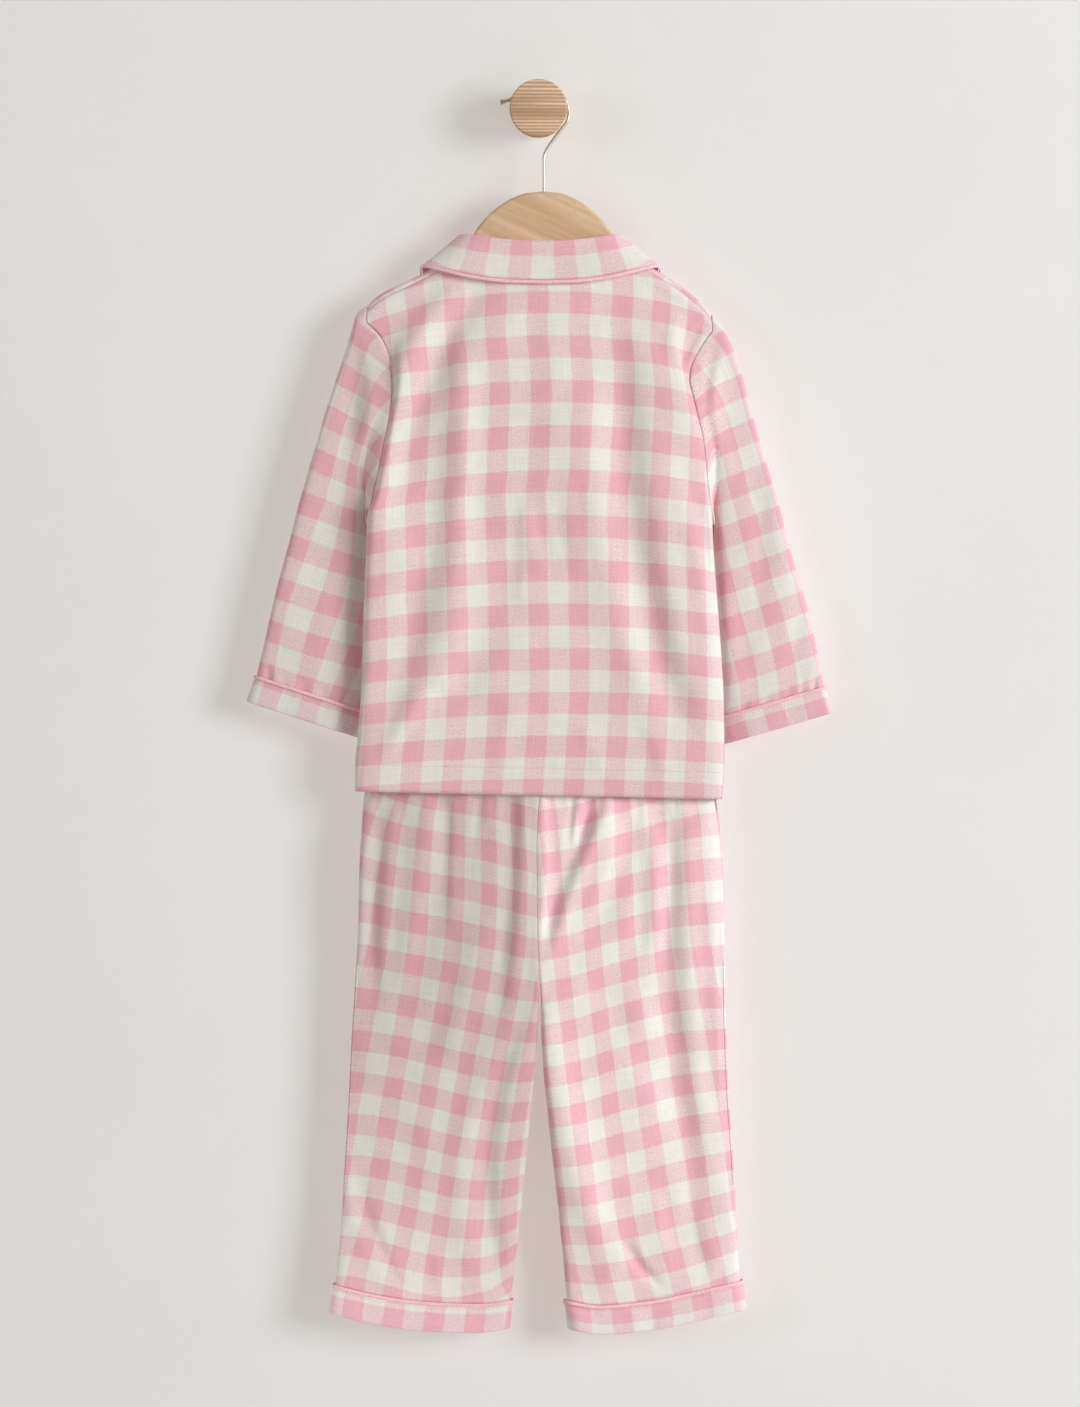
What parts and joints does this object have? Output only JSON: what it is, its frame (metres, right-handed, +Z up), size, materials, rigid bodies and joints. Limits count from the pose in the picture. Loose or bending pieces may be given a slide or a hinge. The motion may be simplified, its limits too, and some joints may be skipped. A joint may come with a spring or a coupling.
{
  "type": "pyjama set on hanger and wall peg",
  "caption": "Child's gingham pyjama set, a collared long-sleeved top over elasticated trousers, both piped, hung back outwards on a wooden hanger from a round wall peg.",
  "frame": {"origin": "centre of the wall peg's flat back face, on the wall", "axes": "+Z up, +Y into the wall, +X to the right for someone who faces the wall; the garment's back faces -Y, so the wearer's left side lies at -X"},
  "size_m": [0.4828, 0.06, 1.0305],
  "materials": {
    "gingham": "brushed cotton, woven pink and off-white check",
    "piping": "plain pink cotton cord",
    "beech": "satin lacquer",
    "wire": "nickel-plated, slightly dull",
    "button": "pearl gloss"
  },
  "bodies": {
    "root": {"top_back": "gingham", "top_front_left": "gingham", "top_front_right": "gingham", "sleeve_left": "gingham", "sleeve_right": "gingham", "sleeve_cuff_left": "gingham", "sleeve_cuff_right": "gingham", "collar": "gingham", "trouser_back_left": "gingham", "trouser_back_right": "gingham", "trouser_front_left": "gingham", "trouser_front_right": "gingham", "waistband": "gingham", "leg_cuff_left": "gingham", "leg_cuff_right": "gingham", "sleeve_piping_left": "piping", "sleeve_piping_right": "piping", "collar_piping": "piping", "leg_piping_left": "piping", "leg_piping_right": "piping", "button_1": "button", "button_2": "button", "button_3": "button", "button_4": "button", "button_5": "button", "hanger": "beech", "hook": "wire", "wall_peg": "beech"}
  },
  "joints": []
}
